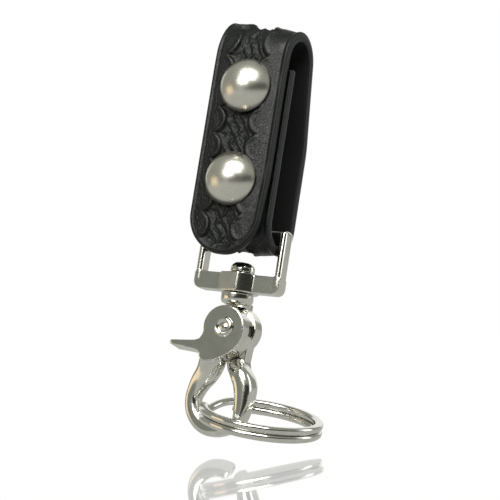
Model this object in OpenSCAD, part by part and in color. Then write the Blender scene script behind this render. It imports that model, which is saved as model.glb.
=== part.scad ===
// Belt-loop key holder: a leather strap folded into a loop that closes with two
// press snaps, a swivelling scissor snap hung in its lower bend, and a split ring.
// X runs across the strap, -Y is the front (snap caps), +Z is up.
// The origin is the centre of the belt opening.

/* [Strap] */
// Width of the leather strap
strap_w = 22.2; // [21:0.1:22.4]
// Thickness of the leather
leather_t = 3.2; // [2.8:0.1:3.3]
// Height of the upper fold above the origin
fold_top_z = 31.8; // [30:0.1:34]
// Depth of the strap loop from the front flap to the back strap
loop_depth = 22.3; // [21:0.1:24]
// Outer radius of the upper fold
fold_r = 9; // [8:0.1:9.4]
// Depth of the lower bend below the origin
bend_bottom_z = -32.35; // [-34:0.05:-31]
// Lowest point of the front flap
flap_tip_z = -34.5; // [-36:0.1:-33]
// Upper end of the inner tab
tab_top_z = 19.5; // [18:0.1:20]
// Gap between the front flap and the inner tab
tab_gap = 0.3; // [0.2:0.05:0.4]

/* [Snaps] */
// Diameter of the snap caps
cap_d = 15; // [14:0.1:15.4]
// Distance between the two snaps
snap_pitch = 26.7; // [25:0.1:28]
// Height of the cap dome above its rim
cap_dome_h = 4.3; // [3:0.1:4.6]
// Diameter of the stud head
stud_head_d = 5.2; // [5:0.05:5.3]
// Bore of the socket
socket_bore_d = 6.3; // [6.2:0.05:6.5]

/* [Swivel loop] */
// Clear width of the rectangular loop
loop_in_w = 22.8; // [22.6:0.1:23.4]
// Thickness of the side arms
loop_arm_t = 2; // [1.8:0.1:2.4]
// Depth of the loop from front to back
loop_y = 5.4; // [5:0.1:5.8]
// Diameter of the upper bar
top_bar_d = 3.4; // [3:0.1:3.6]
// Height of the lower bar
low_bar_h = 5; // [4.6:0.1:5.2]
// Outer diameter of the swivel barrel
barrel_d = 11.6; // [10:0.1:11.8]
// Bore of the swivel barrel
barrel_bore_d = 4.5; // [4.4:0.02:4.52]

/* [Scissor snap] */
// Diameter of the swivel shank
shank_d = 4.4; // [4.36:0.02:4.4]
// Diameter of the peened shank head
shank_head_d = 7.1; // [6.6:0.1:7.2]
// Diameter of the collar under the barrel
collar_d = 9.4; // [9:0.1:9.8]
// Radius of the round end of both snap halves
plate_r = 6.1; // [5.8:0.1:6.2]
// Thickness of the lever half's plate
lever_plate_t = 6.8; // [6.4:0.1:6.9]
// Thickness of the fixed half's plate
fixed_plate_t = 4.6; // [4.2:0.1:4.8]
// Depth of both jaws from front to back
jaw_t = 5.6; // [5.2:0.1:5.8]
// Diameter of the pivot rivet
rivet_d = 3.2; // [3:0.05:3.2]
// Bore for the rivet in the lever half
lever_bore_d = 3.3; // [3.26:0.01:3.34]
// Diameter of the rivet heads
rivet_head_d = 5.5; // [5:0.1:5.8]
// Wire diameter of the lever spring
spring_wire_d = 0.7; // [0.6:0.05:0.7]

/* [Key ring] */
// Outer diameter of the split ring
ring_d = 34.6; // [34:0.1:35.2]
// Radial width of the ring wire
ring_wire_w = 2.4; // [2.2:0.1:2.4]
// Height of one coil of the ring
ring_coil_h = 2.1; // [1.9:0.1:2.1]

/* [Hidden] */
$fn = 64;

e = 0.02;
t = leather_t;

// Strap layers, front to back
back_y1 = 9.4;                     // back face of the back strap
back_y0 = back_y1 - t;             // belt side of the back strap
flap_y0 = back_y1 - loop_depth;    // front face of the flap
flap_y1 = flap_y0 + t;             // inner face of the flap
tab_y0 = flap_y1 + tab_gap;        // front face of the inner tab
tab_y1 = tab_y0 + t;               // belt side of the inner tab
// Upper fold
fold_cy = flap_y0 + fold_r;
fold_cz = fold_top_z - fold_r;
slope_z = 0;                       // height where the back strap starts to lean
dy = back_y1 - fold_cy;
dz = slope_z - fold_cz;
// direction of the leaning back strap's outward normal
lean = atan2(dz, dy) + acos(fold_r / sqrt(dy * dy + dz * dz));
// Lower bend
bend_r = (back_y1 - tab_y0) / 2;
bend_cy = (back_y1 + tab_y0) / 2;
bend_cz = bend_bottom_z + bend_r;
// Flap hinge, in the middle of the leather
hinge_a = 115;
hinge_r = fold_r - t / 2;
hinge_y = fold_cy + hinge_r * cos(hinge_a);
hinge_z = fold_cz + hinge_r * sin(hinge_a);
hinge_gap = 0.15;
tip_r = strap_w / 2;
tip_cz = flap_tip_z + tip_r;
// Snaps
snap_z = snap_pitch / 2;
cap_r = cap_d / 2;
cap_rim_h = 1.3;
cap_sphere_r = (cap_r * cap_r + cap_dome_h * cap_dome_h) / (2 * cap_dome_h);
// Hardware
hw_y = 1.4;                        // middle plane of the metal parts
bar_z = -26.1;                     // centre of the upper bar
bar_top_z = bar_z + top_bar_d / 2;
low_bar_z0 = -43;
low_bar_z1 = low_bar_z0 + low_bar_h;
barrel_z0 = low_bar_z0 - 0.3;
barrel_z1 = low_bar_z1 + 0.3;
loop_out_w = loop_in_w + 2 * loop_arm_t;
run = 0.15;                        // end play of the swivel
head_z0 = barrel_z1 + run;
collar_z1 = barrel_z0 - run;
collar_z0 = collar_z1 - 2.4;
hook_y0 = hw_y - (lever_plate_t + 0.2 + fixed_plate_t) / 2;
lever_y1 = hook_y0 + lever_plate_t;
fixed_y0 = lever_y1 + 0.2;
fixed_y1 = fixed_y0 + fixed_plate_t;
pivot_z = -53.8;
jaw_y0 = hw_y - jaw_t / 2;
jaw_y1 = hw_y + jaw_t / 2;
eye_x = -0.7;
eye_z = -74.2;
eye_r = 6;
jaw_r = 9.6;
// Ring, leaning out to the right as it rests against the jaw
ring_px = -3.4;                    // where the wire passes through the hook
ring_pz = -75.8;
ring_py = 2.0;
ring_mean_r = (ring_d - ring_wire_w) / 2;
ring_tilt_x = 13.5;
ring_tilt_y = 6.5;

// Extrudes a YZ outline along X, centred
module yz(w) { rotate([90, 0, 90]) translate([0, 0, -w / 2]) linear_extrude(w) children(); }
// Extrudes an XZ outline along Y from y0 to y1
module xz(y0, y1) { translate([0, y1, 0]) rotate([90, 0, 0]) linear_extrude(y1 - y0) children(); }
// Cylinder along Y from y0 to y1
module ycyl(r, y0, y1, x = 0, z = 0) { translate([x, y1, z]) rotate([90, 0, 0]) cylinder(r = r, h = y1 - y0); }
// Part of a flat ring between two angles less than 180 degrees apart
module sector(r0, r1, a0, a1) {
    intersection() {
        difference() { circle(r1); circle(r0); }
        polygon([[0, 0], 2 * r1 * [cos(a0), sin(a0)],
                 2.4 * r1 * [cos((a0 + a1) / 2), sin((a0 + a1) / 2)] / max(0.35, cos((a1 - a0) / 2)),
                 2 * r1 * [cos(a1), sin(a1)]]);
    }
}
// Outline of the strap's width with rounded corners at the bottom end
module tip_outline(z_top) {
    translate([0, tip_cz]) circle(tip_r);
    translate([-tip_r, tip_cz]) square([2 * tip_r, z_top - tip_cz]);
}

// Middle line of the strap from the tab's end, round the bend, up the back and over
// the fold, as pairs of a point and its outward normal
strap_line = concat(
    [for (z = [tab_top_z, bend_cz]) [[tab_y0 + t / 2, z], [-1, 0]]],
    [for (a = [190 : 10 : 350]) [[bend_cy, bend_cz] + (bend_r - t / 2) * [cos(a), sin(a)], [cos(a), sin(a)]]],
    [[[back_y1 - t / 2, bend_cz], [1, 0]],
     [[back_y1 - t / 2, slope_z - t / 2 * tan(lean / 2)], [1, tan(lean / 2)]]],
    [for (k = [0 : 12]) let (a = lean + (hinge_a + 4 - lean) * k / 12)
        [[fold_cy, fold_cz] + hinge_r * [cos(a), sin(a)], [cos(a), sin(a)]]]);
strap_outline = concat(
    [for (p = strap_line) p[0] + p[1] * t / 2],
    [for (i = [len(strap_line) - 1 : -1 : 0]) strap_line[i][0] - strap_line[i][1] * t / 2]);

module strap_body() color([0.07, 0.075, 0.085]) difference() {
    yz(strap_w) polygon(strap_outline);
    // clearance round the flap's hinge line
    translate([0, hinge_y, hinge_z]) rotate([0, 90, 0]) cylinder(r = t / 2 + hinge_gap, h = strap_w + 2, center = true);
    yz(strap_w + 2) translate([hinge_y, hinge_z]) rotate(hinge_a - 90)
        translate([-4, 0]) square([4 + t / 2 + 0.3, t]);
    yz(strap_w + 2) translate([hinge_y, hinge_z]) rotate(hinge_a - 90)
        translate([-4, -t]) square([4, 2 * t]);
    // seats for the studs and holes for their eyelets
    for (z = [-snap_z, snap_z]) {
        ycyl(3.95, tab_y0 - 1, tab_y0 + 0.62, 0, z);
        ycyl(1.4, tab_y0 - 1, tab_y1 + 1, 0, z);
    }
}

module strap_flap() color([0.08, 0.085, 0.095]) difference() {
    union() {
        yz(strap_w) {
            translate([fold_cy, fold_cz]) sector(fold_r - t, fold_r, hinge_a, 180);
            translate([hinge_y, hinge_z]) circle(t / 2);
        }
        xz(flap_y0, flap_y1) tip_outline(fold_cz + e);
    }
    // seats for the sockets and holes for the cap posts
    for (z = [-snap_z, snap_z]) {
        ycyl(4.65, flap_y1 - 2.25, flap_y1 + 1, 0, z);
        ycyl(1.9, flap_y0 - 1, flap_y1 + 1, 0, z);
    }
}

// Domed cap with a rolled rim and a hollow post
module snap_cap(z) color([0.78, 0.77, 0.74]) translate([0, flap_y0, z]) rotate([90, 0, 0]) {
    difference() {
        union() {
            cylinder(r = cap_r, h = cap_rim_h);
            translate([0, 0, cap_rim_h]) intersection() {
                translate([0, 0, cap_dome_h - cap_sphere_r]) sphere(r = cap_sphere_r);
                cylinder(r = cap_r - e, h = cap_dome_h + 1);
            }
        }
        // hollow under the dome
        translate([0, 0, 0.5]) cylinder(r = cap_r - 0.6, h = cap_rim_h - 0.4);
        translate([0, 0, cap_rim_h]) intersection() {
            translate([0, 0, cap_dome_h - cap_sphere_r]) sphere(r = cap_sphere_r - 0.6);
            cylinder(r = cap_r - 0.6, h = cap_dome_h);
        }
    }
    // post through the leather
    translate([0, 0, 1.9 - t]) cylinder(r = 1.8, h = t - 0.9);
    cylinder(r = 3, h = 1);
}
module upper_snap_cap() snap_cap(snap_z);
module lower_snap_cap() snap_cap(-snap_z);

// Socket on the inner face of the flap: a cup sunk into the leather with an open mouth
module snap_socket(z) color([0.72, 0.70, 0.64]) translate([0, flap_y1, z]) rotate([90, 0, 0]) difference() {
    translate([0, 0, -0.1]) cylinder(r = 4.6, h = 2.3);
    translate([0, 0, -1]) cylinder(r = socket_bore_d / 2, h = 2.9);
    translate([0, 0, 0.5]) cylinder(r = 4.1, h = 0.9);
    cylinder(r = 1.8 + e, h = 5);
}
module upper_snap_socket() snap_socket(snap_z);
module lower_snap_socket() snap_socket(-snap_z);

// Two straight spring wires that grip the stud's neck
module socket_spring(z) color([0.80, 0.80, 0.80]) translate([0, flap_y1 - 0.95, z])
    for (s = [-1, 1]) translate([s * 3.45, 0, -1.5]) cylinder(r = 0.28, h = 3);
module upper_socket_spring() socket_spring(snap_z);
module lower_socket_spring() socket_spring(-snap_z);

// Stud on the front of the inner tab
module snap_stud(z) color([0.72, 0.70, 0.64]) translate([0, tab_y0, z]) rotate([90, 0, 0]) difference() {
    rotate_extrude() polygon([[0, -0.6], [3.9, -0.6], [3.9, 0], [2.2, 0.1], [2.1, 0.5],
                              [stud_head_d / 2, 0.9], [stud_head_d / 2, 1.3], [2, 1.7], [0, 1.7]]);
    translate([0, 0, -1]) cylinder(r = 1.3, h = 2);
}
module upper_snap_stud() snap_stud(snap_z);
module lower_snap_stud() snap_stud(-snap_z);

// Eyelet on the belt side of the inner tab
module stud_eyelet(z) color([0.72, 0.70, 0.64]) translate([0, tab_y1, z]) rotate([90, 0, 0]) {
    rotate_extrude() polygon([[0, -0.7], [2.6, -0.7], [3.9, -0.25], [3.9, 0], [1.28, 0], [1.28, t], [0, t]]);
}
module upper_stud_eyelet() stud_eyelet(snap_z);
module lower_stud_eyelet() stud_eyelet(-snap_z);

// Rectangular loop with the swivel barrel in its lower bar
module swivel_loop() color([0.74, 0.75, 0.73]) difference() {
    union() {
        // upper bar
        translate([-loop_in_w / 2 - e, hw_y, bar_z]) rotate([0, 90, 0]) cylinder(r = top_bar_d / 2, h = loop_in_w + 2 * e);
        // side arms with rounded outer corners, and the lower bar
        xz(hw_y - loop_y / 2, hw_y + loop_y / 2) {
            for (s = [-1, 1]) {
                translate([s * (loop_out_w / 2 - loop_arm_t / 2) - loop_arm_t / 2, low_bar_z0 + 2])
                    square([loop_arm_t, bar_top_z - low_bar_z0 - 3]);
                translate([s * (loop_out_w / 2 - loop_arm_t / 2), bar_top_z - 1]) circle(loop_arm_t / 2);
                translate([s * (loop_out_w / 2 - 2), low_bar_z0 + 2]) circle(2);
            }
            translate([-loop_out_w / 2 + 2, low_bar_z0]) square([loop_out_w - 4, low_bar_h]);
            translate([-loop_out_w / 2, low_bar_z0 + 2]) square([loop_out_w, low_bar_h - 2]);
        }
        translate([0, hw_y, barrel_z0]) cylinder(r = barrel_d / 2, h = barrel_z1 - barrel_z0);
    }
    translate([0, hw_y, barrel_z0 - 1]) cylinder(r = barrel_bore_d / 2, h = barrel_z1 - barrel_z0 + 2);
}

// Outline of the fixed half's plate: round end, neck and the root of its jaw
module fixed_plate_outline() {
    translate([0, pivot_z]) circle(plate_r + 0.2);
    translate([-3.6, pivot_z]) square([7.2, collar_z0 - pivot_z + e]);
    polygon([[-5, -57.5], [-1, -62.5], [0, -65.6], [2.6, -67], [6.6, -65.4], [4.6, -62], [5, -57.5]]);
}
module fixed_jaw_outline() {
    polygon([[0.4, -64], [2, -63.9], [5, -63.3], [6.6, -64.6], [8, -66.6], [9, -69], [9.3, -71.5],
             [9.1, -74.5], [8.5, -77.5], [7.5, -80], [6.3, -81.3], [5.4, -81], [5.2, -79],
             [5.1, -76.5], [4.7, -74], [4, -71.5], [3, -69], [1.8, -67], [0.8, -65.4]]);
}
// Fixed half: shank with its peened head, collar, back plate and right-hand jaw
module fixed_jaw() color([0.75, 0.76, 0.74]) difference() {
    union() {
        translate([0, hw_y, collar_z1 - e]) cylinder(r = shank_d / 2, h = head_z0 - collar_z1 + 2 * e);
        translate([0, hw_y, head_z0]) rotate_extrude()
            polygon([[0, 0], [shank_head_d / 2, 0], [shank_head_d / 2, 1.4], [3, 2.2], [2, 2.7], [0, 2.9]]);
        translate([0, hw_y, collar_z0]) cylinder(r1 = collar_d / 2 - 0.6, r2 = collar_d / 2, h = 0.7);
        translate([0, hw_y, collar_z0 + 0.7 - e]) cylinder(r = collar_d / 2, h = collar_z1 - collar_z0 - 0.7 + e);
        // neck between the collar and the plate
        xz(hw_y - 2.4, fixed_y1) translate([-3.6, pivot_z + plate_r + 0.25])
            square([7.2, collar_z0 - pivot_z - plate_r - 0.25 + e]);
        xz(fixed_y0, fixed_y1) fixed_plate_outline();
        // the jaw is as deep as the plate at its root and thins towards its tip
        intersection() {
            xz(jaw_y0, fixed_y1) fixed_jaw_outline();
            yz(40) polygon([[jaw_y0 - 1, -60], [fixed_y1, -60], [fixed_y1, -66.5], [jaw_y1, -77], [jaw_y1, -83], [jaw_y0 - 1, -83]]);
        }
        // spring seat on the pivot
        ycyl(2, fixed_y0 - 2.6, fixed_y0 + e, 0, pivot_z);
    }
    ycyl(rivet_d / 2, fixed_y0 - 3, fixed_y1 + 1, 0, pivot_z);
}

// Outline of the lever half's plate with its thumb lever
module lever_plate_outline() {
    translate([0, pivot_z]) circle(plate_r);
    polygon([[-5.9, -54.8], [-6.3, -56.6], [-7.2, -57.8], [-9, -58.2], [-15.6, -58.6], [-16.1, -59.2],
             [-15.6, -60.3], [-9, -60.7], [-7.4, -61], [-6.5, -61.8], [-6.7, -63.2],
             [-4, -65], [-1.6, -64.6], [0.4, -63.2], [2.4, -62.4], [4.1, -61], [5.3, -59.2],
             [6, -57], [6.1, -54.8]]);
}
module lever_jaw_outline() {
    translate([eye_x, eye_z]) difference() {
        intersection() {
            difference() { circle(jaw_r); circle(eye_r); }
            polygon([[-1, 0], [-12, 4], [-14, -4], [-8, -14], [4, -14], [6.05, -7.3], [3.6, -4.2], [0, 0]]);
        }
    }
    polygon([[-6.5, -61.8], [-7.1, -63.8], [-8.1, -66], [-9.3, -68.6], [-10.1, -71.2], [-10.3, -74.2],
             [-6.7, -74.2], [-6.5, -72.4], [-5.8, -70.2], [-4.7, -68], [-3.4, -66.4], [-1.8, -65],
             [0.2, -63.6], [-2, -62]]);
}
// Lever half: front plate, thumb lever and left-hand jaw
module lever_jaw() color([0.75, 0.76, 0.74]) difference() {
    union() {
        xz(hook_y0, lever_y1) lever_plate_outline();
        xz(jaw_y0, lever_y1) lever_jaw_outline();
        xz(jaw_y0, jaw_y1) intersection() {
            lever_jaw_outline();
            translate([-20, -90]) square([40, 24]);
        }
    }
    ycyl(lever_bore_d / 2, hook_y0 - 1, lever_y1 + 1, 0, pivot_z);
    // pocket for the spring
    ycyl(4.4, lever_y1 - 3, lever_y1 + 1, 0, pivot_z);
    // window through which the spring's leg shows
    translate([3, lever_y1 - 1.6, pivot_z - 1.2]) cube([5, 2, 2.6]);
}

module pivot_rivet() color([0.72, 0.73, 0.71]) translate([0, 0, pivot_z]) rotate([-90, 0, 0]) {
    translate([0, 0, hook_y0 - 0.05]) cylinder(r = rivet_d / 2, h = fixed_y1 - hook_y0 + 0.1);
    // front head: a rounded ring round a low button
    translate([0, 0, hook_y0 - 0.05]) rotate_extrude()
        polygon([[0, 0], [rivet_head_d / 2, 0], [rivet_head_d / 2, -0.5], [2.3, -0.95], [1.8, -0.95],
                 [1.4, -0.6], [0.9, -0.8], [0, -0.9]]);
    // back head
    translate([0, 0, fixed_y1]) rotate_extrude()
        polygon([[0, 0], [rivet_head_d / 2 - 0.2, 0], [rivet_head_d / 2 - 0.2, 0.3], [1.9, 0.8], [0, 0.9]]);
}

// Sweeps a section along a line. Each entry of line is a point and the two unit
// vectors that the section's points are laid out on.
module sweep(line, section) {
    n = len(section);
    m = len(line);
    polyhedron(
        points = [for (f = line) for (q = section) f[0] + q[0] * f[1] + q[1] * f[2]],
        faces = concat(
            [[for (k = [n - 1 : -1 : 0]) k]],
            [for (i = [0 : m - 2]) for (k = [0 : n - 1])
                [i * n + k, i * n + (k + 1) % n, (i + 1) * n + (k + 1) % n, (i + 1) * n + k]],
            [[for (k = [0 : n - 1]) (m - 1) * n + k]]));
}

// Torsion spring round the pivot; its outer leg shows in the lever half's window
spring_r = 2.9;
spring_turns = 2.75;
spring_steps = 54;
wire = [for (k = [0 : 7]) spring_wire_d / 2 * [cos(45 * k), sin(45 * k)]];
function spring_at(a, out) = [
    [(spring_r + out) * cos(a), spring_wire_d / 2 + (spring_wire_d + 0.03) * a / 360, (spring_r + out) * sin(a)],
    [cos(a), 0, sin(a)], [0, -1, 0]];
spring_line = concat(
    [for (i = [0 : spring_steps]) spring_at(360 * spring_turns * i / spring_steps, 0)],
    [[spring_at(360 * spring_turns, 0)[0] + [2.4, 0, 0], [0, 0, -1], [0, -1, 0]]]);
module lever_spring() color([0.6, 0.6, 0.62]) translate([0, lever_y1 - 2.85, pivot_z]) sweep(spring_line, wire);

// Split ring: one flattened wire wound into two flat coils, with a crossover where it
// steps from the upper coil to the lower one
cross_a = 24;
ring_step = ring_coil_h / 2 + 0.03;
function smooth(x) = x <= 0 ? 0 : x >= 1 ? 1 : x * x * (3 - 2 * x);
function ring_level(a) = ring_step * (1 - 2 * smooth((a - 360 + cross_a) / (2 * cross_a)));
ring_section = let (w = ring_wire_w / 2, h = ring_coil_h / 2, c = 0.55)
    [[w, c - h], [w, h - c], [w - c, h], [c - w, h], [-w, h - c], [-w, c - h], [c - w, -h], [w - c, -h]];
ring_turn = 170;                   // where the crossover sits round the ring
ring_line = [for (i = [0 : 110]) let (a = cross_a + 1 + (720 - 2 * cross_a - 2) * i / 110)
    [[ring_mean_r * cos(a), ring_mean_r * sin(a), ring_level(a)], [cos(a), sin(a), 0], [0, 0, 1]]];
module split_ring() color([0.74, 0.75, 0.73]) translate([ring_px, ring_py, ring_pz])
    rotate([ring_tilt_x, 0, 0]) rotate([0, ring_tilt_y, 0]) translate([ring_mean_r, 0, 0])
        rotate([0, 0, ring_turn - 360]) sweep(ring_line, ring_section);

strap_body();
strap_flap();
upper_snap_cap();
lower_snap_cap();
upper_snap_socket();
lower_snap_socket();
upper_socket_spring();
lower_socket_spring();
upper_snap_stud();
lower_snap_stud();
upper_stud_eyelet();
lower_stud_eyelet();
swivel_loop();
fixed_jaw();
lever_jaw();
pivot_rivet();
lever_spring();
split_ring();
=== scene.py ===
import bpy, math
import numpy as np
from mathutils import Vector, Matrix


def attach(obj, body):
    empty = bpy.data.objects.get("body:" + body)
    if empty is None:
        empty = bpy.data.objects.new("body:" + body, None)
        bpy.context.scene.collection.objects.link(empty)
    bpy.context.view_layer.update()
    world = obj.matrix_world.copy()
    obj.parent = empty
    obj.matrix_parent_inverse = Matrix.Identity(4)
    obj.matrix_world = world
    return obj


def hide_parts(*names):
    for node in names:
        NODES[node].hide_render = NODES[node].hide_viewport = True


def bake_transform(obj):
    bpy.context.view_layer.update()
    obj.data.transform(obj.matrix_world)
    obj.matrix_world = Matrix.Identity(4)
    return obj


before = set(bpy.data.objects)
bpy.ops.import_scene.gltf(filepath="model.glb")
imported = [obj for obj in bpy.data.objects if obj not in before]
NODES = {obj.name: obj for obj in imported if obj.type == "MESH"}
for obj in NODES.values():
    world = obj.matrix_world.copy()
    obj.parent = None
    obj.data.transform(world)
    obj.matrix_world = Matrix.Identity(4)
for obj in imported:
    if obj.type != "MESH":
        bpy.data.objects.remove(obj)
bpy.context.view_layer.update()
rng = np.random.default_rng(7)

# ---------------------------------------------------------------- camera
A, E, ROLL, DIST = math.radians(26.8), math.radians(-8.4), math.radians(9.0), 450.0
back = np.array([math.sin(A) * math.cos(E), -math.cos(A) * math.cos(E), math.sin(E)])
right0 = np.array([math.cos(A), math.sin(A), 0.0])
up0 = np.cross(back, right0)
right = math.cos(ROLL) * right0 + math.sin(ROLL) * up0
up = -math.sin(ROLL) * right0 + math.cos(ROLL) * up0
CAM = right * 2.8 - up * 32.9 + back * DIST - np.array([0, 12.9, 0])
cam = bpy.data.objects.new("camera", bpy.data.cameras.new("camera"))
bpy.context.scene.collection.objects.link(cam)
cam.matrix_world = Matrix([[*(float(v) for v in (right[i], up[i], back[i])), float(CAM[i]) / 1000] for i in range(3)] + [[0, 0, 0, 1]])
cam.data.sensor_width = 36
cam.data.lens = 116.4
cam.data.clip_start, cam.data.clip_end = 0.01, 20
bpy.context.scene.camera = cam
bpy.context.scene.view_settings.view_transform = "Standard"


def cam_point(r, u, b):
    """A point given in millimetres right, up and towards the camera from the middle of the object."""
    return np.array([0, 0, -25.0]) + right * r + up * u + back * b


# ---------------------------------------------------------------- mesh helpers
def add_mesh(name, verts, faces, smooth=True):
    """verts in millimetres."""
    me = bpy.data.meshes.new(name)
    me.from_pydata([tuple(v) for v in (np.asarray(verts, float) * 0.001)], [], [tuple(int(i) for i in f) for f in faces])
    me.update()
    me.shade_smooth() if smooth else me.shade_flat()
    ob = bpy.data.objects.new(name, me)
    bpy.context.scene.collection.objects.link(ob)
    return ob


def tube(rows, cap=True):
    """rows: list of (n, 3) rings of points. Returns verts and faces of a closed tube."""
    m, n = len(rows), len(rows[0])
    verts = np.concatenate(rows)
    faces = [(i * n + k, i * n + (k + 1) % n, (i + 1) * n + (k + 1) % n, (i + 1) * n + k) for i in range(m - 1) for k in range(n)]
    if cap:
        faces += [tuple(range(n - 1, -1, -1)), tuple((m - 1) * n + k for k in range(n))]
    return verts, faces


def lathe(profile, centre, axis, n=96):
    """profile: (radius, height) pairs from one end of the axis to the other; the ends lie on the axis."""
    axis = np.asarray(axis, float) / np.linalg.norm(axis)
    a = np.cross(axis, [1, 0, 0]) if abs(axis[0]) < 0.9 else np.cross(axis, [0, 1, 0])
    a /= np.linalg.norm(a)
    b = np.cross(axis, a)
    verts, faces = [np.asarray(centre) + axis * profile[0][1]], []
    ang = [2 * math.pi * k / n for k in range(n)]
    inner = profile[1:-1]
    for r, h in inner:
        verts += [np.asarray(centre) + axis * h + r * (math.cos(t) * a + math.sin(t) * b) for t in ang]
    verts.append(np.asarray(centre) + axis * profile[-1][1])
    last = len(verts) - 1
    for k in range(n):
        faces.append((0, 1 + (k + 1) % n, 1 + k))
        for i in range(len(inner) - 1):
            o, q = 1 + i * n, 1 + (i + 1) * n
            faces.append((o + k, o + (k + 1) % n, q + (k + 1) % n, q + k))
        o = 1 + (len(inner) - 1) * n
        faces.append((o + k, o + (k + 1) % n, last))
    return np.array(verts), faces


def prism(outline, lo, hi, plane="xz"):
    """An outline, closed, extruded along the axis that the plane leaves out."""
    n = len(outline)
    rows = []
    for v in (lo, hi):
        if plane == "xz":
            rows.append(np.array([[x, v, z] for x, z in outline]))
        elif plane == "xy":
            rows.append(np.array([[x, y, v] for x, y in outline]))
        else:
            rows.append(np.array([[v, y, z] for y, z in outline]))
    return tube(rows)


def spline(points, n):
    """Catmull-Rom curve through points of any dimension, n samples."""
    p = np.asarray(points, float)
    p = np.vstack([2 * p[0] - p[1], p, 2 * p[-1] - p[-2]])
    out = []
    m = len(p) - 3
    for i in range(n):
        u = m * i / (n - 1)
        k = min(int(u), m - 1)
        f = u - k
        a, b, c, d = p[k:k + 4]
        out.append(0.5 * (2 * b + (c - a) * f + (2 * a - 5 * b + 4 * c - d) * f * f + (3 * b - a - 3 * c + d) * f ** 3))
    return np.array(out)


def oval(n, w, d, power):
    t = np.arange(n) * 2 * math.pi / n
    c, s = np.cos(t), np.sin(t)
    return np.stack([np.sign(c) * np.abs(c) ** (2 / power) * w, np.sign(s) * np.abs(s) ** (2 / power) * d], 1)


def limb(stations, n=90, sides=36, power=2.5):
    """A rounded bar in the XZ plane. stations: x, z, y, half width, half depth."""
    c = spline(stations, n)
    xz = c[:, :2]
    tan = np.gradient(xz, axis=0)
    tan /= np.linalg.norm(tan, axis=1)[:, None]
    nor = np.stack([-tan[:, 1], tan[:, 0]], 1)
    rows = []
    for i in range(n):
        k = min(i, n - 1 - i)
        e = 1.0 if k > 3 else (0.45, 0.75, 0.9, 0.98)[k]
        o = oval(sides, c[i, 3] * e, c[i, 4] * e, power)
        rows.append(np.stack([xz[i, 0] + nor[i, 0] * o[:, 0], c[i, 2] + o[:, 1], xz[i, 1] + nor[i, 1] * o[:, 0]], 1))
    v, f = tube(rows)
    return v, f


def baked(ob):
    dg = bpy.context.evaluated_depsgraph_get()
    me = bpy.data.meshes.new_from_object(ob.evaluated_get(dg))
    old = ob.data
    ob.modifiers.clear()
    ob.data = me
    me.name = ob.name
    bpy.data.meshes.remove(old)


def cast(name, parts, voxel=0.14, rounds=8, cuts=()):
    """Joins closed parts into one casting with softened edges. cuts are closed parts taken away."""
    def joined(nm, group):
        verts, faces, base = [], [], 0
        for v, f in group:
            verts.append(v)
            faces += [tuple(i + base for i in q) for q in f]
            base += len(v)
        return add_mesh(nm, np.concatenate(verts), faces)
    ob = joined(name, parts)
    m = ob.modifiers.new("m", "REMESH")
    m.mode, m.voxel_size, m.use_smooth_shade = "VOXEL", voxel * 0.001, True
    baked(ob)
    if cuts:
        tool = joined("cut", cuts)
        b = ob.modifiers.new("b", "BOOLEAN")
        b.operation, b.object, b.solver = "DIFFERENCE", tool, "EXACT"
        baked(ob)
        bpy.data.meshes.remove(tool.data)
        m = ob.modifiers.new("m", "REMESH")
        m.mode, m.voxel_size, m.use_smooth_shade = "VOXEL", voxel * 0.001, True
        baked(ob)
    s = ob.modifiers.new("s", "SMOOTH")
    s.factor, s.iterations = 0.5, rounds
    baked(ob)
    ob.data.shade_smooth()
    return ob


# ---------------------------------------------------------------- noise
class Noise:
    def __init__(self, seed):
        self.t = np.random.default_rng(seed).random((256, 256)) * 2 - 1

    def __call__(self, x, y):
        xi, yi = np.floor(x).astype(int), np.floor(y).astype(int)
        fx, fy = x - xi, y - yi
        fx, fy = fx * fx * (3 - 2 * fx), fy * fy * (3 - 2 * fy)
        g = lambda i, j: self.t[i % 256, j % 256]
        return (g(xi, yi) * (1 - fx) * (1 - fy) + g(xi + 1, yi) * fx * (1 - fy)
                + g(xi, yi + 1) * (1 - fx) * fy + g(xi + 1, yi + 1) * fx * fy)


N1, N2, N3 = Noise(1), Noise(2), Noise(3)
step = lambda a, b, x: (lambda t: t * t * (3 - 2 * t))(np.clip((x - a) / (b - a), 0, 1))

# ---------------------------------------------------------------- materials
def material(name):
    m = bpy.data.materials.new(name)
    m.use_nodes = True
    nt = m.node_tree
    bsdf = nt.nodes["Principled BSDF"]
    return m, nt, bsdf


def node(nt, kind, **kw):
    n = nt.nodes.new(kind)
    for k, v in kw.items():
        if k in n.inputs:
            n.inputs[k].default_value = v
        else:
            setattr(n, k, v)
    return n


def ramp(nt, fac, stops):
    r = nt.nodes.new("ShaderNodeValToRGB")
    while len(r.color_ramp.elements) < len(stops):
        r.color_ramp.elements.new(0.5)
    for e, (p, c) in zip(r.color_ramp.elements, stops):
        e.position = p
        e.color = (*c, 1) if hasattr(c, "__len__") else (c, c, c, 1)
    nt.links.new(fac, r.inputs["Fac"])
    return r.outputs["Color"]


def mix(nt, fac, a, b, kind="RGBA"):
    m = nt.nodes.new("ShaderNodeMix")
    m.data_type = kind
    ia, ib, o = (6, 7, 2) if kind == "RGBA" else (2, 3, 0)
    for s, v in ((m.inputs[0], fac), (m.inputs[ia], a), (m.inputs[ib], b)):
        if isinstance(v, bpy.types.NodeSocket):
            nt.links.new(v, s)
        elif hasattr(v, "__len__"):
            s.default_value = (*v, 1)
        else:
            s.default_value = v
    return m.outputs[o]


def math_node(nt, op, a, b=0.0):
    m = nt.nodes.new("ShaderNodeMath")
    m.operation = op
    for s, v in zip(m.inputs, (a, b)):
        if isinstance(v, bpy.types.NodeSocket):
            nt.links.new(v, s)
        else:
            s.default_value = v
    return m.outputs[0]


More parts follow.
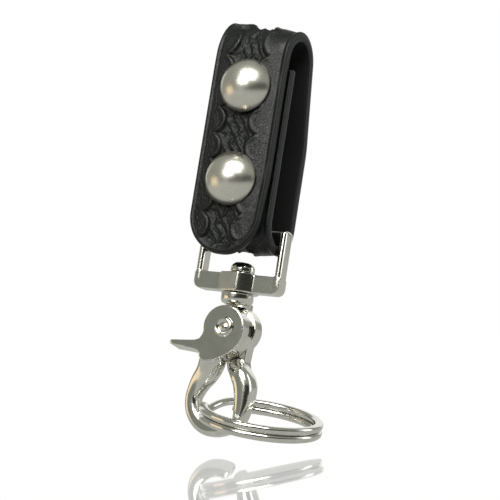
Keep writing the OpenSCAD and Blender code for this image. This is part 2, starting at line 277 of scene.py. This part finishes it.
def leather():
    m, nt, b = material("black_leather")
    co = node(nt, "ShaderNodeTexCoord").outputs["Object"]
    attr = {n: node(nt, "ShaderNodeAttribute", attribute_name=n).outputs["Fac"] for n in ("tool", "edge", "flesh")}

    def noise(scale, detail=3, rough=0.5, distortion=0.0):
        n = node(nt, "ShaderNodeTexNoise", Scale=scale, Detail=detail, Roughness=rough, Distortion=distortion)
        nt.links.new(co, n.inputs["Vector"])
        return n.outputs["Fac"]
    big, fine, fibre = noise(140, 3), noise(1500, 4, 0.6), noise(2600, 5, 0.75)
    pore = node(nt, "ShaderNodeTexVoronoi", Scale=1250.0, feature="DISTANCE_TO_EDGE")
    warp = node(nt, "ShaderNodeTexNoise", Scale=600, Detail=2)
    nt.links.new(co, warp.inputs["Vector"])
    shifted = node(nt, "ShaderNodeVectorMath", operation="MULTIPLY_ADD")
    nt.links.new(warp.outputs["Color"], shifted.inputs[0])
    shifted.inputs[1].default_value = (0.0009, 0.0009, 0.0009)
    nt.links.new(co, shifted.inputs[2])
    nt.links.new(shifted.outputs[0], pore.inputs["Vector"])
    creases = ramp(nt, pore.outputs["Distance"], [(0.0, 0.0), (0.12, 1.0)])
    grain_colour = ramp(nt, big, [(0.3, (0.0022, 0.0032, 0.0030)), (0.7, (0.0048, 0.0060, 0.0058))])
    # painted shade: the stamped band's recess is given a darker colour than the smooth grain
    grain_with_painted_band_shade = mix(nt, attr["tool"], grain_colour, (0.0022, 0.0040, 0.0035))
    rubbed = mix(nt, attr["edge"], grain_with_painted_band_shade, (0.0050, 0.0072, 0.0068))
    flesh = ramp(nt, fibre, [(0.25, (0.0022, 0.0032, 0.003)), (0.8, (0.011, 0.013, 0.0125))])
    nt.links.new(mix(nt, attr["flesh"], rubbed, flesh), b.inputs["Base Color"])
    r = ramp(nt, fine, [(0.2, 0.27), (0.8, 0.40)])
    r = mix(nt, attr["tool"], r, ramp(nt, fine, [(0.2, 0.36), (0.8, 0.62)]))
    r = mix(nt, attr["edge"], r, (0.46, 0.46, 0.46))
    r = mix(nt, attr["flesh"], r, (0.95, 0.95, 0.95))
    nt.links.new(r, b.inputs["Roughness"])
    height = mix(nt, 0.35, creases, fine, "FLOAT")
    height = mix(nt, attr["flesh"], height, math_node(nt, "MULTIPLY", fibre, 2.5), "FLOAT")
    bump = node(nt, "ShaderNodeBump", Strength=0.55, Distance=0.00008)
    nt.links.new(height, bump.inputs["Height"])
    nt.links.new(bump.outputs["Normal"], b.inputs["Normal"])
    b.inputs["Specular IOR Level"].default_value = 0.3
    return m


def metal(name, colour, dark, rough, spread=0.06, wave=0.00002, grain=0.000004, scale=350, brush=None):
    m, nt, b = material(name)
    co = node(nt, "ShaderNodeTexCoord").outputs["Object"]
    b.inputs["Metallic"].default_value = 1.0

    def noise(s, detail=3, rough_=0.5, vec=co):
        n = node(nt, "ShaderNodeTexNoise", Scale=s, Detail=detail, Roughness=rough_)
        nt.links.new(vec, n.inputs["Vector"])
        return n.outputs["Fac"]
    tone = noise(scale, 3)
    nt.links.new(ramp(nt, tone, [(0.3, dark), (0.7, colour)]), b.inputs["Base Color"])
    vec = co
    if brush is not None:
        mp = node(nt, "ShaderNodeMapping")
        nt.links.new(co, mp.inputs["Vector"])
        mp.inputs["Scale"].default_value = brush
        vec = mp.outputs["Vector"]
    micro = noise(2600, 4, 0.65, vec)
    nt.links.new(ramp(nt, micro, [(0.25, rough - spread), (0.75, rough + spread)]), b.inputs["Roughness"])
    b1 = node(nt, "ShaderNodeBump", Strength=1.0, Distance=wave)
    nt.links.new(noise(260, 1), b1.inputs["Height"])
    b2 = node(nt, "ShaderNodeBump", Strength=1.0, Distance=grain)
    nt.links.new(micro, b2.inputs["Height"])
    nt.links.new(b1.outputs["Normal"], b2.inputs["Normal"])
    nt.links.new(b2.outputs["Normal"], b.inputs["Normal"])
    return m


M_LEATHER = leather()
M_CAP = metal("satin_nickel_cap", (0.70, 0.69, 0.62), (0.64, 0.63, 0.565), 0.29, 0.035, 0.000004, 0.000002, 300, (1, 1, 0.12))
M_CAST = metal("nickel_casting", (0.74, 0.735, 0.68), (0.66, 0.655, 0.60), 0.15, 0.035, 0.000012, 0.000003, 300)
M_RING = metal("nickel_ring", (0.72, 0.715, 0.67), (0.64, 0.635, 0.59), 0.13, 0.04, 0.000008, 0.000003, 400)
M_BRASS = metal("nickel_washed_brass", (0.63, 0.60, 0.50), (0.50, 0.46, 0.36), 0.26, 0.08, 0.00001, 0.000004, 500)
M_WIRE = metal("drawn_wire", (0.52, 0.52, 0.53), (0.42, 0.42, 0.43), 0.26, 0.08, 0.000005, 0.000004, 700)


def dress(ob, mat, body=None, replaces=()):
    ob.data.materials.clear()
    ob.data.materials.append(mat)
    if body:
        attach(ob, body)
    if replaces:
        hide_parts(*replaces)
    return ob


# ---------------------------------------------------------------- leather strap
W, T = 22.2, 3.2
R_TIP, TIP_Z = W / 2, -34.5
FOLD = np.array([-3.9, 22.8])
BEND = np.array([0.0, -22.95])
LEAN = math.radians(10.33)
TURN_R = 28.0                                    # the back strap's easing where it starts to lean
ARC, BEND_R = 7.4, 7.8


def strap_path():
    """Middle line of the leather from the flap's tip to the tab's end: point, outward normal and distance."""
    pts = []

    def line(a, b, nrm):
        n = max(2, int(np.linalg.norm(np.subtract(b, a)) / 0.1))
        for i in range(n):
            pts.append((np.add(a, np.subtract(b, a) * i / n), np.array(nrm)))

    def arc(c, r, a0, a1, sign=1):
        n = max(2, int(abs(a1 - a0) * r / 0.1))
        for i in range(n):
            a = a0 + (a1 - a0) * i / n
            u = np.array([math.cos(a), math.sin(a)])
            pts.append((np.asarray(c) + r * u, sign * u))
    line((-11.3, TIP_Z), (-11.3, FOLD[1]), (-1, 0))
    arc(FOLD, ARC, math.pi, LEAN)
    corner = np.array([BEND_R, -T / 2 * math.tan(LEAN / 2)])
    lean_dir = np.array([-math.sin(LEAN), math.cos(LEAN)])
    ease = TURN_R * math.tan(LEAN / 2)
    a = FOLD + ARC * np.array([math.cos(LEAN), math.sin(LEAN)])
    p1 = corner + lean_dir * ease
    line(a, p1, (math.cos(LEAN), math.sin(LEAN)))
    c = p1 - TURN_R * np.array([math.cos(LEAN), math.sin(LEAN)])
    arc(c, TURN_R, LEAN, 0)
    line(corner - np.array([0, ease]), (BEND_R, BEND[1]), (1, 0))
    arc(BEND, BEND_R, 0, -math.pi)
    line((-BEND_R, BEND[1]), (-BEND_R, 19.5), (-1, 0))
    pts.append((np.array([-BEND_R, 19.5]), np.array([-1.0, 0.0])))
    p = np.array([q[0] for q in pts])
    n = np.array([q[1] for q in pts])
    s = np.concatenate([[0], np.cumsum(np.linalg.norm(np.diff(p, axis=0), axis=1))])
    return p, n, s


PATH, NORM, S = strap_path()
LENGTH = S[-1]
S_FOLD0 = FOLD[1] - TIP_Z                         # where the flap meets the fold
S_TAB = LENGTH - 19.5 + BEND[1]


def at(s):
    s = np.clip(s, 0, LENGTH)
    y, z = np.interp(s, S, PATH[:, 0]), np.interp(s, S, PATH[:, 1])
    ny, nz = np.interp(s, S, NORM[:, 0]), np.interp(s, S, NORM[:, 1])
    k = np.hypot(ny, nz)
    return y, z, ny / k, nz / k


PERIOD, XC, CROWN, TIP_X = 7.55, -0.85, 3.6, 8.6
S0 = -0.45 - TIP_Z                                # a tooling point on the flap, along the strap


def tooling(x, s):
    """Height of the stamped pattern above the smooth leather, and how deep in the band a point is."""
    drift = 0.22 * N3(s * 0.13, 0 * s + 3.3)
    xr = x - XC + 0.4 * step(26, 2, s)
    ax = np.abs(xr)
    side = np.sign(xr)
    ss = s + drift
    k = np.round((ss - S0 - PERIOD / 2) / PERIOD)
    zc = S0 + PERIOD / 2 + k * PERIOD
    dz = ss - zc
    rr = 3.87
    cx = CROWN + rr + 0.35 * N1(k * 3.1 + side * 7.7, 0 * k)
    ry = 1.02
    d = np.hypot((ax - cx), dz * ry) - rr                # over 0 between the lobes
    d = np.where(ax > cx, np.abs(dz * ry) - rr, d)
    reach = TIP_X + 0.35 * N2(k + side * 5.5, 0 * k + 1.7)
    d = np.minimum(d, (reach - ax) * 0.75)
    inside = step(-0.05, 0.42, d)
    depth = 0.78 * step(-0.05, 0.5, d) + 0.32 * step(0.3, 2.2, d)
    puff = 0.20 * np.exp(-((d + 0.55) / 0.5) ** 2) * (d < 0.35) * step(7.4, 6.0, ax)
    # twisted ropelike ridges and tool marks down in the band
    phase = 2 * math.pi * (ss - S0) / PERIOD
    ridge_x = 1.15 * np.sin(phase + 0.6)
    r1 = np.exp(-((xr - ridge_x) / 0.55) ** 2)
    leaf = np.maximum(0, np.cos(phase + 1.25 * xr + 0.7)) ** 4
    chips = N2(x * 1.2 + 2.0 * N1(s * 0.5, x * 0.5), s * 1.1) * 0.6 + N1(x * 2.6, s * 2.4) * 0.22
    hatch = np.cos((xr * 0.8 + (ss - S0)) * 2 * math.pi / 1.05)
    rough = 0.42 * r1 + 0.34 * leaf + 0.30 * chips + 0.06 * hatch * step(0.5, 1.6, d)
    h = -depth + inside * rough * step(0.0, 1.1, d) + puff
    return h, inside


def strap_mesh():
    # rows of the flap's round tip, then stations along the strap
    col = [0, 0.04, 0.1, 0.18, 0.28, 0.42, 0.6, 0.8, 1.0, 1.16, 1.3, 1.4, 1.5, 1.6, 1.72, 1.9, 2.15]
    half = W / 2
    mid = np.linspace(2.4, half, 38)
    offs = np.array(col + list(mid))
    u = np.concatenate([-(half - offs), (half - offs[:-1])[::-1]]) / half       # from -1 to 1
    ncol = len(u)
    tip_off = np.array(col + list(np.linspace(2.4, R_TIP, 38)))
    v = (R_TIP - tip_off) / R_TIP                                                # from 1 to 0
    body_s = [R_TIP]
    s = R_TIP
    while s < LENGTH - 2.4:
        s += 0.24 if s < 92 else 0.36
        body_s.append(s)
    tail = [LENGTH - o for o in col[::-1]]
    body_s = [q for q in body_s if q < tail[0] - 0.1] + tail
    rows_x, rows_s = [], []
    for vv in v[:-1]:
        rows_x.append(R_TIP * u * np.sqrt(1 - vv * vv / 2))
        rows_s.append(R_TIP - R_TIP * vv * np.sqrt(1 - u * u / 2))
    for q in body_s:
        rows_x.append(half * u)
        rows_s.append(np.full(ncol, q))
    X, SS = np.array(rows_x), np.array(rows_s)
    tip_d = R_TIP - np.hypot(X, SS - R_TIP)
    D = np.where(SS < R_TIP, tip_d, half - np.abs(X))
    D = np.minimum(D, LENGTH - SS)
    D = np.maximum(D, 0)

    def rounded(d, r):
        q = np.clip(r - d, 0, r)
        return r - np.sqrt(np.maximum(r * r - q * q, 0))
    tool, inside = tooling(X, SS)
    fade = step(0.8, 2.6, D)                       # the pattern runs out before the edge
    flat_back = step(LENGTH - 46, LENGTH - 40, SS)  # the tab under the flap is plain
    tool = tool * fade * (1 - flat_back)
    inside = inside * fade * (1 - flat_back)
    crease = 0.07 * np.exp(-((D - 1.5) / 0.22) ** 2) * (1 - flat_back) * (0.35 + 0.65 * step(-2, 6, X))
    wave = 0.05 * N1(X * 0.35, SS * 0.25) + 0.02 * N2(X * 1.1, SS * 0.9)
    crown = -0.85 * (np.maximum(X - 2, 0) / 9) ** 2 - 0.4 * (np.maximum(-3 - X, 0) / 8) ** 2
    Nout = T / 2 - rounded(D, 0.95) + tool - crease + (wave + crown) * step(0, 1.5, D)
    Nin = -T / 2 + rounded(D, 0.55) + 0.03 * N3(X * 0.9, SS * 0.9)
    bulge = 0.0

    def place(x, s, n):
        y, z, ny, nz = at(s)
        slim = 1 - 0.085 * step(0, 6, x) * step(26, 6, s)
        lift = (1.4 - 0.105 * x) * np.sin(math.pi * np.clip((s - S_FOLD0 + 2) / 26, 0, 1)) ** 2
        return np.stack([x * slim - 0.7 * step(S_FOLD0 + 14, S_FOLD0 - 4, s), y + n * ny, z + n * nz + lift], -1)
    nrow = len(X)
    outer, inner = place(X, SS, Nout), place(X, SS, Nin)
    walls = 6
    # the side walls and the tip's end wall bow out a little; the tab's end wall runs straight
    bow_x = np.zeros_like(X)
    verts = [outer.reshape(-1, 3), inner.reshape(-1, 3)]
    iO = np.arange(nrow * ncol).reshape(nrow, ncol)
    iI = iO + nrow * ncol
    base = 2 * nrow * ncol
    edge_rows = []

    def wall(xs, ss, no, ni, mx, ms):
        """Points between an outer and an inner border, bowed along the in-plane outward direction."""
        out = []
        for k in range(1, walls):
            f = k / walls
            b = 0.16 * math.sin(math.pi * f)
            out.append(place(xs + mx * b, ss + ms * b, no + (ni - no) * f))
        return out
    idx = {}
    for side, c in ((-1, 0), (1, ncol - 1)):
        xs, ss = X[:, c], SS[:, c]
        tipd = np.stack([xs, ss - R_TIP], 1)
        ln = np.maximum(np.hypot(tipd[:, 0], tipd[:, 1]), 1e-9)
        mx = np.where(ss < R_TIP, tipd[:, 0] / ln, side)
        ms = np.where(ss < R_TIP, tipd[:, 1] / ln, 0.0)
        w = wall(xs, ss, Nout[:, c], Nin[:, c], mx, ms)
        grid = [iO[:, c]]
        for q in w:
            verts.append(q)
            grid.append(np.arange(base, base + nrow))
            base += nrow
        grid.append(iI[:, c])
        idx[side] = np.array(grid)                 # (walls + 1, nrow)
    ends = {}
    for end, r in (("tip", 0), ("tab", nrow - 1)):
        xs, ss = X[r], SS[r]
        if end == "tip":
            tipd = np.stack([xs, ss - R_TIP], 1)
            ln = np.hypot(tipd[:, 0], tipd[:, 1])
            mx, ms = tipd[:, 0] / ln, tipd[:, 1] / ln
        else:
            mx, ms = np.zeros(ncol), np.zeros(ncol)
        w = wall(xs[1:-1], ss[1:-1], Nout[r][1:-1], Nin[r][1:-1], mx[1:-1], ms[1:-1])
        grid = [iO[r]]
        for k, q in enumerate(w):
            verts.append(q)
            grid.append(np.concatenate([[idx[-1][k + 1][r]], np.arange(base, base + ncol - 2), [idx[1][k + 1][r]]]))
            base += ncol - 2
        grid.append(iI[r])
        ends[end] = np.array(grid)
    V = np.concatenate(verts)
    faces, rowof = [], []

    def quads(g, flip, rows):
        a, b, c, d = g[:-1, :-1], g[:-1, 1:], g[1:, 1:], g[1:, :-1]
        q = np.stack([a, b, c, d] if not flip else [a, d, c, b], -1).reshape(-1, 4)
        faces.append(q)
        rowof.append(rows.reshape(-1))
    rr = np.repeat(np.arange(nrow - 1)[:, None], ncol - 1, 1)
    quads(iO, True, rr)
    quads(iI, False, rr)
    wr = np.repeat(np.arange(nrow - 1)[None, :], walls, 0)
    quads(idx[-1], True, wr)
    quads(idx[1], False, wr)
    er = np.zeros((walls, ncol - 1), int)
    quads(ends["tip"], False, er)
    quads(ends["tab"], True, er + nrow - 2)
    F, ROW = np.concatenate(faces), np.concatenate(rowof)
    # masks for the finish; the tool mask also darkens the band's colour as painted shade
    tool_m = np.zeros(len(V)); edge_m = np.zeros(len(V)); flesh_m = np.zeros(len(V))
    tool_m[:nrow * ncol] = inside.reshape(-1)
    edge_m[:nrow * ncol] = step(0.9, 0.2, D).reshape(-1) * 0.8 
    flesh_m[nrow * ncol:2 * nrow * ncol] = step(0.1, 0.5, D).reshape(-1)
    edge_m[2 * nrow * ncol:] = 1.0
    # one set of normals for both pieces, so that the join doesn't show
    tri = V[F]
    fn = np.cross(tri[:, 2] - tri[:, 0], tri[:, 3] - tri[:, 1])
    vn = np.zeros_like(V)
    for k in range(4):
        np.add.at(vn, F[:, k], fn)
    vn /= np.maximum(np.linalg.norm(vn, axis=1), 1e-12)[:, None]
    seam_s = 118.0
    first = SS[:, ncol // 2]
    seam = int(np.searchsorted(first, seam_s))
    out = []
    for name, keep in (("leather_flap", ROW < seam), ("leather_strap", ROW >= seam)):
        f = F[keep]
        used = np.unique(f)
        back_map = np.full(len(V), -1)
        back_map[used] = np.arange(len(used))
        loop = np.concatenate([iO[seam], idx[1][1:-1, seam], iI[seam][::-1], idx[-1][1:-1, seam][::-1]])
        fl = [tuple(q) for q in back_map[f]]
        cap = tuple(int(q) for q in back_map[loop])
        fl.append(cap if name == "leather_strap" else cap[::-1])
        ob = add_mesh(name, V[used], fl)
        me = ob.data
        for nm, arr in (("tool", tool_m), ("edge", edge_m), ("flesh", flesh_m)):
            a = me.attributes.new(nm, "FLOAT", "POINT")
            a.data.foreach_set("value", arr[used].astype(np.float32))
        me.normals_split_custom_set_from_vertices([tuple(q) for q in vn[used]])
        out.append(ob)
    return out


flap_ob, strap_ob = strap_mesh()
dress(strap_ob, M_LEATHER, "strap", ["strap_body"])
dress(flap_ob, M_LEATHER, None, ["strap_flap"])
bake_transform(flap_ob)

# ---------------------------------------------------------------- snap caps
FLAP_Y = -12.9
for nm, z in (("upper", 13.35), ("lower", -13.35)):
    prof = [(0, -0.3), (5.5, -0.3), (7.3, -0.28), (7.6, -0.1), (7.72, 0.12)]
    H0, HD, R0 = 0.42, 5.2, 7.72
    rho = (R0 * R0 + HD * HD) / (2 * HD)
    for k in range(41):
        # a dome that meets its lip steeply
        q = math.asin(R0 / rho) * (1 - k / 40)
        prof.append((rho * math.sin(q), H0 + HD - rho + rho * math.cos(q)))
    prof[-1] = (0, H0 + HD)
    v, f = lathe(prof, (-0.6, FLAP_Y + 0.05, z), (0, -1, 0), 128)
    cap = add_mesh(nm + "_cap", v, f)
    dress(cap, M_CAP, "flap", [nm + "_snap_cap"])

# ---------------------------------------------------------------- swivel loop
HY = 1.4


def bar(points, r, sides=28, power=2.0, ry=None):
    """A round bar through points."""
    p = spline(points, 60)
    tan = np.gradient(p, axis=0)
    tan /= np.linalg.norm(tan, axis=1)[:, None]
    rows = []
    for i in range(len(p)):
        a = np.cross(tan[i], [0, 1, 0]); a /= np.linalg.norm(a)
        b = np.cross(tan[i], a)
        o = oval(sides, r, ry or r, power)
        rows.append(p[i] + o[:, :1] * a + o[:, 1:] * b)
    return tube(rows)


def loop_piece():
    parts = []
    parts.append(bar([(-12.2, HY, -26.1), (-4, HY, -26.1), (4, HY, -26.1), (12.2, HY, -26.1)], 1.65))
    for s in (-1, 1):
        # arm: a flat bar with a rounded section, its top end round
        arm = [(s * 12.4, -24.6), (s * 12.4, -28), (s * 12.4, -33), (s * 12.4, -38), (s * 12.35, -41.6)]
        st = [(x, z, HY, 1.0, 2.6) for x, z in arm]
        parts.append(limb(st, 60, 32, 3.4))
    # lower bar
    o = [(-13.4, -38.4), (-13.4, -41.2), (-12.9, -42.4), (-11.7, -43), (11.7, -43), (12.9, -42.4), (13.4, -41.2), (13.4, -38.4), (12.4, -37.6), (11.4, -38.0), (-11.4, -38.0), (-12.4, -37.6)]
    parts.append(prism(o, HY - 2.5, HY + 2.5))
    ring = []
    n = (-0.39, -0.92)
    for k in range(72):
        a = 2 * math.pi * k / 72
        x, y = 5.8 * math.cos(a), 5.8 * math.sin(a)
        d = x * n[0] + y * n[1]
        if d > 4.6:
            x, y = x - n[0] * (d - 4.6), y - n[1] * (d - 4.6)
        ring.append((x, HY + y))
    parts.append(prism(ring, -43.3, -37.7, "xy"))
    return cast("loop_casting", parts, 0.12, 22)


dress(loop_piece(), M_CAST, "loop", ["swivel_loop"])

# ---------------------------------------------------------------- scissor snap
PZ = -53.8
EYE = (-0.7, -74.2)


def circle_pts(cx, cz, r, a0, a1, n):
    return [(cx + r * math.cos(math.radians(a0 + (a1 - a0) * i / (n - 1))), cz + r * math.sin(math.radians(a0 + (a1 - a0) * i / (n - 1)))) for i in range(n)]


def lever_piece():
    parts = [prism(circle_pts(0, PZ, 6.25, 0, 355, 72), -4.4, 2.4)]
    o = [(-5.9, -54.8), (-6.2, -56.4), (-6.9, -57.6), (-8.4, -58.25), (-11, -58.45), (-11, -60.65), (-8.8, -60.75), (-7.2, -61.1), (-6.4, -61.8),
         (-6.2, -62.8), (-5.4, -63.6), (-4, -63.8), (-1.6, -63.3), (0.6, -62.3), (2.6, -61.1), (4.2, -59.7), (5.4, -58), (6, -56.4), (6.1, -54.8)]
    parts.append(prism(o, -4.4, 2.4))
    # thumb lever, tapering to its end
    rows = []
    for x, zt, zb, y0, y1 in ((-7, -58.0, -60.9, -4.4, 2.4), (-10, -58.35, -60.5, -4.4, 2.4), (-13.5, -58.65, -60.25, -4.4, 2.3), (-15.6, -58.8, -60.15, -4.3, 2.2), (-16.1, -59.0, -59.9, -4.1, 1.9)):
        rows.append(np.array([[x, y0, zb], [x - 0.35, y1, zb - 0.75], [x - 0.35, y1, zt], [x, y0, zt]]))
    parts.append(tube(rows))
    # jaw: from under the plate, round the eye to the tip
    st = [(-2.9, -61.2, -0.9, 3.2, 3.3), (-3.7, -64.0, -0.5, 3.5, 3.3), (-5.0, -66.7, 0.3, 3.2, 3.1), (-6.85, -69.4, 0.95, 2.75, 2.9), (-8.0, -71.9, 1.3, 2.3, 2.8)]
    for a in (180, 200, 220, 240, 258, 274, 288, 300):
        w = 2.0 + 0.3 * math.exp(-((a - 250) / 30) ** 2)
        st.append((EYE[0] + 7.8 * math.cos(math.radians(a)), EYE[1] + 7.8 * math.sin(math.radians(a)), HY, w, 2.8))
    st.append((EYE[0] + 7.7 * math.cos(math.radians(309)), EYE[1] + 7.7 * math.sin(math.radians(309)), HY, 1.5, 2.6))
    parts.append(limb(st, 110, 40, 3.2))
    # the window that shows the spring's leg
    return cast("lever_casting", parts, 0.12, 16, [prism([(2.6, -52.2), (8.5, -52.2), (8.5, -55.2), (2.6, -55.2)], -0.3, 3.2)])



def hook_piece():
    parts = [prism(circle_pts(0.2, PZ + 0.5, 6.45, 0, 355, 72), 2.6, 7.2)]
    parts.append(prism([(-5, -57.5), (-1, -62.5), (0, -65.4), (2.6, -66.6), (5.7, -65.2), (4.7, -62), (5, -57.5)], 2.6, 7.1))
    parts.append(prism([(-3.4, PZ), (3.4, PZ), (3.0, -45.7), (-3.0, -45.7)], 2.6, 6.4))
    parts.append(prism([(-2.4, PZ + 6.45), (3.2, PZ + 6.45), (3.0, -45.7), (-2.4, -45.7)], HY - 1.8, 6.0))
    # collar, shank and its peened head
    prof = [(0, -46.7), (3.3, -46.7), (4.1, -46.4), (4.55, -45.7), (4.7, -45.0), (4.7, -43.7), (4.55, -43.48), (2.2, -43.45), (2.2, -37.3), (0, -37.3)]
    parts.append(lathe(prof, (0, HY, 0), (0, 0, 1), 72))
    head = [(0, -37.55), (3.35, -37.5), (3.55, -37.3), (3.55, -36.1), (3.3, -35.4), (2.6, -34.75), (1.4, -34.4), (0, -34.3)]
    parts.append(lathe(head, (0.4, HY, 0), (0, 0, 1), 72))
    st = [(1.4, -61.2, 4.7, 2.2, 2.3), (2.7, -64.1, 3.5, 2.4, 3.5), (4.5, -66.0, 2.9, 2.8, 4.1), (5.85, -67.9, 2.7, 2.9, 4.05), (6.6, -70.2, 2.4, 2.8, 3.75), (6.95, -72.75, 2.05, 2.5, 3.4),
          (7.1, -75.5, 1.7, 2.2, 3.05), (6.85, -78.1, 1.45, 1.8, 2.8), (6.4, -80.3, 1.4, 1.25, 2.6)]
    parts.append(limb(st, 90, 40, 3.0))
    return cast("hook_casting", parts, 0.12, 20)


dress(lever_piece(), M_CAST, "lever", ["lever_jaw"])
dress(hook_piece(), M_CAST, "hook", ["fixed_jaw"])

# rivet: a raised ring round a low button, a plain head at the back
prof = [(0, 0.55), (0.35, 0.62), (0.7, 0.5), (1.0, 0.33), (1.3, 0.32), (1.55, 0.5), (1.75, 0.78), (1.98, 0.9), (2.22, 0.86), (2.45, 0.65), (2.65, 0.32), (2.75, 0.1), (2.75, 0.0), (1.6, -0.02),
        (1.6, -11.6), (2.5, -11.62), (2.55, -11.75), (2.3, -12.15), (1.5, -12.4), (0, -12.5)]
v, f = lathe([(r * 1.08 if h > 0 else r, h) for r, h in prof], (0, -4.45, PZ), (0, -1, 0), 80)
rivet = add_mesh("rivet", v + np.array([0.3, 0, 0]), f)
dress(rivet, M_CAST, "hook", ["pivot_rivet"])

# ---------------------------------------------------------------- split ring
def split_ring():
    mean_r, w, h = (34.6 - 2.4) / 2, 1.2, 1.05
    px, py, pz = -3.4, 2.0, -75.8
    cross, stepz = 24, 1.05 + 0.03
    n = 520
    sec = oval(24, w, h, 2.6)
    tx, ty, turn = math.radians(13.5), math.radians(6.5), math.radians(170 - 360)
    Rx = np.array([[1, 0, 0], [0, math.cos(tx), -math.sin(tx)], [0, math.sin(tx), math.cos(tx)]])
    Ry = np.array([[math.cos(ty), 0, math.sin(ty)], [0, 1, 0], [-math.sin(ty), 0, math.cos(ty)]])
    Rz = np.array([[math.cos(turn), -math.sin(turn), 0], [math.sin(turn), math.cos(turn), 0], [0, 0, 1]])
    rows = []
    for i in range(n):
        a = cross + 1 + (720 - 2 * cross - 2) * i / (n - 1)
        t = min(1, max(0, (a - 360 + cross) / (2 * cross)))
        lev = stepz * (1 - 2 * t * t * (3 - 2 * t))
        k = min(i, n - 1 - i)
        e = 1.0 if k > 3 else (0.7, 0.88, 0.95, 0.985)[k]
        c, s = math.cos(math.radians(a)), math.sin(math.radians(a))
        p = np.stack([(mean_r + sec[:, 0] * e) * c, (mean_r + sec[:, 0] * e) * s, lev + sec[:, 1] * e], 1)
        p = p @ Rz.T + np.array([mean_r, 0, 0])
        rows.append(p @ (Rx @ Ry).T + np.array([px, py, pz]))
    v, f = tube(rows)
    return add_mesh("key_ring", v, f)


dress(split_ring(), M_RING, "ring", ["split_ring"])

# ---------------------------------------------------------------- pieces kept from the frame
for nm, ob in NODES.items():
    mat = M_BRASS if ("stud" in nm or "socket" in nm) else M_WIRE
    if nm.endswith("socket_spring") or nm == "lever_spring":
        mat = M_WIRE
    if not ob.material_slots:
        ob.data.materials.append(mat)
    for sl in ob.material_slots:
        sl.material = mat

# ---------------------------------------------------------------- stage and light
def stage_plane(name, centre, u, v, su, sv, seg=1):
    c, u, v = np.asarray(centre, float), np.asarray(u, float), np.asarray(v, float)
    ob = add_mesh(name, [c - u * su - v * sv, c + u * su - v * sv, c + u * su + v * sv, c - u * su + v * sv], [(0, 1, 2, 3)], False)
    return ob


def card(name, centre, size, colour, strength):
    """A card facing the object, seen in reflections and not by the camera."""
    c = cam_point(*centre)
    d = np.array([0, 0, -25.0]) - c
    d /= np.linalg.norm(d)
    u = np.cross(d, up); u /= np.linalg.norm(u)
    v = np.cross(u, d)
    ob = stage_plane(name, c, u, v, size[0] / 2, size[1] / 2)
    m, nt, b = material(name)
    nt.nodes.remove(b)
    em = node(nt, "ShaderNodeEmission", Color=(*colour, 1), Strength=strength)
    nt.links.new(em.outputs[0], nt.nodes["Material Output"].inputs["Surface"])
    ob.data.materials.append(m)
    ob.visible_camera = False
    ob.visible_shadow = False
    return ob


def area(name, centre, size, power, colour=(1, 1, 1)):
    c = cam_point(*centre)
    d = bpy.data.lights.new(name, "AREA")
    d.shape, d.size, d.size_y, d.energy, d.color = "RECTANGLE", size[0] / 1000, size[1] / 1000, power, colour
    ob = bpy.data.objects.new(name, d)
    bpy.context.scene.collection.objects.link(ob)
    ob.location = Vector(c) / 1000
    ob.rotation_mode = "QUATERNION"
    ob.rotation_quaternion = (Vector([0, 0, -25.0]) - Vector(c)).to_track_quat("-Z", "Y")
    return ob


world = bpy.data.worlds.new("studio")
bpy.context.scene.world = world
world.use_nodes = True
wt = world.node_tree
bg = wt.nodes["Background"]
lp = wt.nodes.new("ShaderNodeLightPath")
mx = wt.nodes.new("ShaderNodeMix"); mx.data_type = "RGBA"
wt.links.new(lp.outputs["Is Camera Ray"], mx.inputs[0])
mx.inputs[6].default_value = (0.33, 0.335, 0.30, 1)
mx.inputs[7].default_value = (1.0, 1.0, 1.0, 1)
wt.links.new(mx.outputs[2], bg.inputs["Color"])

area("key", (-20, 400, 290), (380, 240), 2.6, (1.0, 0.995, 0.98))
area("window_left", (-205, 240, 385), (240, 150), 0.9, (1.0, 0.97, 0.93))
area("rim_right", (420, 120, -60), (160, 320), 0.3, (0.97, 0.99, 1.0))
card("warm_card", (-415, 0, 45), (230, 150), (1.0, 0.80, 0.55), 1.3)
card("grey_left", (-690, 250, 420), (420, 720), (0.95, 1.0, 0.90), 0.25)
card("dark_room", (180, -150, 410), (1240, 820), (0.03, 0.034, 0.027), 1.0)
card("white_back", (0, 60, -480), (760, 460), (1.0, 1.0, 0.98), 1.0)

# floor: the object hangs just over it
fc = CAM - back * (DIST - 200) - up * 55.1
floor = stage_plane("floor", fc, right * 0.9995 + up * 0.03, back, 900, 650)
m, nt, b = material("pale_floor")
nt.nodes.remove(b)
lpn = node(nt, "ShaderNodeLightPath")
e1 = node(nt, "ShaderNodeEmission", Color=(1, 1, 1, 1), Strength=1.10)
e2 = node(nt, "ShaderNodeEmission", Color=(0.96, 0.96, 0.92, 1), Strength=0.55)
gl = node(nt, "ShaderNodeBsdfGlossy", Color=(0.95, 0.95, 0.95, 1), Roughness=0.04)
tr = node(nt, "ShaderNodeBsdfTransparent")
geo = node(nt, "ShaderNodeNewGeometry")
mg = node(nt, "ShaderNodeMixShader")
mg.inputs[0].default_value = 0.6
nt.links.new(e1.outputs[0], mg.inputs[1]); nt.links.new(gl.outputs[0], mg.inputs[2])
mc = node(nt, "ShaderNodeMixShader")
nt.links.new(lpn.outputs["Is Camera Ray"], mc.inputs[0])
nt.links.new(e2.outputs[0], mc.inputs[1]); nt.links.new(mg.outputs[0], mc.inputs[2])
mb = node(nt, "ShaderNodeMixShader")
nt.links.new(geo.outputs["Backfacing"], mb.inputs[0])
nt.links.new(mc.outputs[0], mb.inputs[1]); nt.links.new(tr.outputs[0], mb.inputs[2])
nt.links.new(mb.outputs[0], nt.nodes["Material Output"].inputs["Surface"])
floor.data.materials.append(m)
fn_ = floor.data.polygons[0].normal
if fn_.dot(Vector(up)) < 0:
    floor.data.flip_normals()
